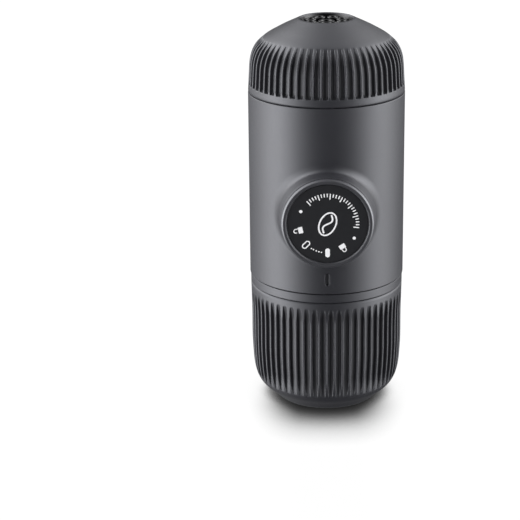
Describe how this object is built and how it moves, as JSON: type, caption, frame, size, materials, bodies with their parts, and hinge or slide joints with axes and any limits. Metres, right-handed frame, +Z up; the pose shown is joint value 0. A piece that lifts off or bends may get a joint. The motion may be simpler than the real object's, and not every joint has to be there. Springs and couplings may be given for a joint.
{
  "type": "handheld manual espresso maker",
  "caption": "Pocket hand-pumped espresso maker: fluted screw-on outlet head, plain body with a turn-to-unlock piston knob, screw-on water tank inside a fluted pull-off cup.",
  "frame": {"origin": "centre of the drinking cup's flat base, on the body's long axis", "axes": "+Z up the long axis from the cup to the outlet head, -Y out of the front through the piston knob, +X to the right seen from the front"},
  "size_m": [0.0616, 0.0707, 0.156],
  "materials": {
    "shell_grey": "fine satin moulded",
    "frame_black": "moulded",
    "gloss_black": "polished",
    "tank_smoke": "smoky, polished",
    "silicone": "smooth",
    "steel": "bright",
    "piston_grey": "smooth moulded"
  },
  "bodies": {
    "cup": {"cup": "shell_grey"},
    "tank": {"water_tank": "tank_smoke", "tank_grip_ring": "shell_grey"},
    "tank_seal": {"tank_gasket": "silicone"},
    "main_body": {"body_shell": "shell_grey", "tank_socket": "frame_black", "brew_chamber": "frame_black", "pump_housing": "frame_black", "port_seals": "silicone", "inlet_seat": "frame_black", "outlet_retainer": "frame_black", "outlet_spring": "steel", "inlet_strainer": "steel", "vent_valve": "silicone", "lower_screws": "steel", "upper_screws": "steel", "basket_seal": "silicone", "lock_collar": "frame_black", "piston_spring": "steel"},
    "inlet_valve": {"inlet_ball": "steel"},
    "outlet_valve": {"outlet_ball": "steel"},
    "piston": {"piston_rod": "piston_grey", "piston_seals": "silicone", "knob_screw": "steel"},
    "knob": {"knob_core": "frame_black", "knob_ring": "shell_grey", "knob_disc": "gloss_black"},
    "basket": {"filter_basket": "steel"},
    "head_seal": {"head_gasket": "silicone"},
    "head": {"portafilter": "frame_black", "outlet_filter": "steel", "outlet_head": "shell_grey", "spout": "gloss_black"}
  },
  "joints": [
    {"name": "cup_pull", "type": "slide", "parent": "cup", "child": "tank", "axis": [0, 0, 1], "range_m": [0, 0.05]},
    {"name": "tank_lift", "type": "slide", "parent": "tank", "child": "tank_seal", "axis": [0, 0, 1], "range_m": [0, 0.0141]},
    {"name": "tank_unscrew", "type": "hinge", "parent": "tank_seal", "child": "main_body", "pos_m": [0, 0, 0.0577], "axis": [0, 0, 1], "range_deg": [0, 420]},
    {"name": "inlet_lift", "type": "slide", "parent": "main_body", "child": "inlet_valve", "axis": [0, 0, 1], "range_m": [0, 0.001]},
    {"name": "outlet_lift", "type": "slide", "parent": "main_body", "child": "outlet_valve", "axis": [0, 0, 1], "range_m": [0, 0.0015], "stiffness_N_per_m": 20, "deforming": ["outlet_spring"]},
    {"name": "piston_travel", "type": "slide", "parent": "main_body", "child": "piston", "axis": [0, -1, 0], "range_m": [0, 0.012], "deforming": ["piston_spring"]},
    {"name": "knob_turn", "type": "hinge", "parent": "piston", "child": "knob", "pos_m": [0, -0.037, 0.0844], "axis": [0, -1, 0], "range_deg": [0, 45]},
    {"name": "basket_lift", "type": "slide", "parent": "main_body", "child": "basket", "axis": [0, 0, 1], "range_m": [0, 0.0121]},
    {"name": "head_lift", "type": "slide", "parent": "main_body", "child": "head_seal", "axis": [0, 0, 1], "range_m": [0, 0.0161]},
    {"name": "head_unscrew", "type": "hinge", "parent": "head_seal", "child": "head", "pos_m": [0, 0, 0.1245], "axis": [0, 0, 1], "range_deg": [0, 480]}
  ],
  "couplings": [
    {"joint": "tank_lift", "follows": "tank_unscrew", "m_per_rad": 0.0019099},
    {"joint": "head_lift", "follows": "head_unscrew", "m_per_rad": 0.0019099},
    {"joint": "basket_lift", "follows": "head_unscrew", "m_per_rad": 0.0014324}
  ]
}
